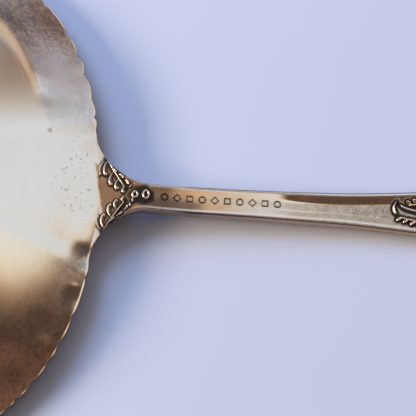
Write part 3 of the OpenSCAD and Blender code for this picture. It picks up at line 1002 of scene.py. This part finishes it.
def floor_finish():
    material, net = finish_net("pale table")
    grain = noise(net, 60, 2)
    tint = net.blend(grain, (0.595, 0.655, 0.89, 1), (0.605, 0.665, 0.9, 1))
    shader = net.add("ShaderNodeBsdfPrincipled", sockets={"Base Color": tint, "Roughness": 0.8})
    net.add("ShaderNodeOutputMaterial", sockets={"Surface": shader})
    return material


# Pieces

def show(piece, node):
    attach(piece, "root")
    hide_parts(node)


def carved(name, node, lobes, up=1):
    piece = lobe_tree.make(name, leaf_silver, lobe_seed(name + "_paths", lobes))
    lay_on_metal(piece, up)
    show(piece, node)
    return piece


def neck_curls():
    """The two ring curls, and a bead that trails from the first."""
    rings = curl_maker().make("neck_curls", leaf_silver, curl_seed("curl_places"))
    tail = lobe_tree.make("curl_tail", leaf_silver, lobe_seed("tail_path", [lobe(*curl_tail)]))
    with bpy.context.temp_override(active_object=rings, object=rings, selected_objects=[rings, tail],
                                   selected_editable_objects=[rings, tail]):
        bpy.ops.object.join()
    lay_on_metal(rings)
    show(rings, "neck_husk")
    return rings


bowl_silver = silver_finish("satin silver of the bowl", bowl_look)
handle_silver = silver_finish("worn silver of the handle", handle_look)
leaf_silver = silver_finish("carved silver of the leaves", leaf_look)

bowl = bowl_maker().make("bowl_silver", bowl_silver)
show(bowl, "bowl")

lobe_tree = lobe_maker()
front_leaf_end = 5
front_leaf_room = 26
front_tip = handle_length / MM - front_leaf_end - front_leaf_room
back_tip = shank_length / MM + 0.1
left_spray = carved("shoulder_spray_left", "shoulder_leaf_left", spray_lobes(1))
right_spray = carved("shoulder_spray_right", "shoulder_leaf_right", spray_lobes(-1))
curl_rings = neck_curls()
back_leaf = carved("back_leaf_carving", "back_leaf",
                   leaf_lobes(back_tip, length=26.5, margin=1.05, pitch=0.95, spread=1.15))
carved("front_leaf_carving", "front_leaf",
       leaf_lobes(front_tip, length=25.5, margin=2.3, pitch=1.5, spread=2.0), -1)

# Pieces with blackened ground round them, which goes from full to none between two distances in mm
grounds = [(left_spray, 0.06, 0.3), (right_spray, 0.06, 0.3),
           (curl_rings, 0.15, 0.5), (back_leaf, 0.25, 0.5)]
handle = handle_mesh(handle_silver, grounds)
show(handle, "handle")


# Floor, light and camera

floor_reach = 4.0

# Share of the room's light that falls on dull surfaces, such as the floor
room_fill = 0.66

# The room's colours: a dark near wall that turns warm and then pale towards the ceiling, the far wall,
# which is tan and then dark on the side of the handle, and a blue tint low down beyond the bowl
near_wall = [(-1.0, (0.2, 0.11, 0.07)), (-0.6, (0.16, 0.085, 0.055)), (-0.5, (0.06, 0.03, 0.016)),
             (-0.33, (0.07, 0.037, 0.02)), (-0.25, (0.15, 0.08, 0.045)), (-0.17, (0.55, 0.3, 0.15)),
             (-0.09, (0.98, 0.78, 0.53)), (0.02, (0.9, 0.83, 0.71)), (0.15, (0.77, 0.78, 0.77)),
             (0.35, (0.75, 0.765, 0.775))]
far_wall = [(0.8, (1, 1, 1)), (0.95, (0.8, 0.7, 0.56)), (1.0, (0.6, 0.5, 0.4))]
right_far_wall = [(0.505, (1, 1, 1)), (0.555, (0.95, 0.87, 0.78)), (0.605, (0.62, 0.47, 0.36)),
                  (0.7, (0.45, 0.3, 0.21)), (0.8, (0.37, 0.25, 0.18)), (0.9, (0.2, 0.14, 0.11)),
                  (1.0, (0.12, 0.085, 0.07))]
left_tint = (0.14, 0.28, 0.55, 1)


def pale_floor():
    mesh = bpy.data.meshes.new("floor")
    corners = [(-floor_reach, -floor_reach, 0), (floor_reach, -floor_reach, 0),
               (floor_reach, floor_reach, 0), (-floor_reach, floor_reach, 0)]
    mesh.from_pydata(corners, [], [(0, 1, 2, 3)])
    mesh.materials.append(floor_finish())
    floor = bpy.data.objects.new("floor", mesh)
    bpy.context.scene.collection.objects.link(floor)


def studio_room():
    """A bright ceiling between the near wall and the far wall, dim and blue low down beyond the bowl."""
    world = bpy.data.worlds.new("studio")
    bpy.context.scene.world = world
    world.use_nodes = True
    net = Net(world.node_tree)
    x, y, z = net.add("ShaderNodeTexCoord")["Generated"].split()
    right = x.smooth(0.25, 0.45)
    rise = (0.66 - z).most(0) * x.smooth(0.4, 0.6)
    near = y - rise
    near = near + rise * 0.8 * near.smooth(-0.14, 0)
    far = y - (0.3 - z).most(0) * 0.5

    def across(coordinate, stops):
        shares = [(place * 0.5 + 0.5, colour) for place, colour in stops]
        return net.ramp(coordinate * 0.5 + 0.5, shares)

    def tinted(factor, colour, tint):
        settings = {"data_type": "RGBA", "blend_type": "MULTIPLY"}
        return net.add("ShaderNodeMix", settings, {0: factor, 6: colour, 7: tint})

    ends = net.blend(right, across(far, far_wall), across(far, right_far_wall))
    room = tinted(1, across(near, near_wall), ends)
    room = tinted(x.smooth(-0.15, -0.4) * z.smooth(0.75, 0.5), room, left_tint)

    # The metal and the camera see the whole room, and it fills the shadows less than that
    rays = net.add("ShaderNodeLightPath")
    shown = rays["Is Camera Ray"].most(rays["Is Glossy Ray"]).most(rays["Is Transmission Ray"])
    strength = room_fill + shown * (1 - room_fill)
    sky = net.add("ShaderNodeBackground", sockets={"Color": room, "Strength": strength})
    net.add("ShaderNodeOutputWorld", sockets={"Surface": sky})


def studio_lamps():
    """A long warm lamp on the side of the bowl, and a cool panel behind it that the metal doesn't show."""
    soft_lamp("key_softbox", (-0.88, -0.064, 0.464), (0.64, 0.16), 10.0, (1.0, 0.8, 0.52))
    panel = soft_lamp("sky_panel", (-0.35, 0.45, 0.5), (0.45, 0.45), 4.0, (0.49, 0.69, 1.0))
    panel.visible_glossy = False


def soft_lamp(name, place, size, energy, colour):
    """A flat lamp, wide and high as given, that points at the origin and isn't seen by the camera."""
    data = bpy.data.lights.new(name, "AREA")
    data.shape = "RECTANGLE"
    data.size, data.size_y = size
    data.energy = energy
    data.color = colour
    lamp = bpy.data.objects.new(name, data)
    lamp.location = place
    lamp.rotation_mode = "QUATERNION"
    lamp.rotation_quaternion = (-lamp.location).to_track_quat("-Z", "Y")
    lamp.visible_camera = False
    bpy.context.scene.collection.objects.link(lamp)
    return lamp


def camera():
    """The photograph's view, with the neck of the spoon left of the middle."""
    azimuth, elevation = math.radians(2.44), math.radians(72)
    distance = 0.4
    target = Vector((neck_x + 14.48 * MM, -1.49 * MM, 5 * MM))
    level = math.cos(elevation)
    toward = Vector((math.sin(azimuth) * level, -math.cos(azimuth) * level, math.sin(elevation)))
    image_pixels, pixels_per_mm = 416, 7
    view_width = image_pixels / pixels_per_mm * MM
    data = bpy.data.cameras.new("camera")
    data.sensor_width = 36
    data.lens = data.sensor_width * distance / view_width
    data.clip_start = 0.01
    eye = bpy.data.objects.new("camera", data)
    eye.location = target + toward * distance
    eye.rotation_mode = "QUATERNION"
    eye.rotation_quaternion = (-toward).to_track_quat("-Z", "Y")
    bpy.context.scene.collection.objects.link(eye)
    bpy.context.scene.camera = eye


pale_floor()
studio_room()
studio_lamps()
camera()
bpy.context.scene.view_settings.view_transform = "Standard"
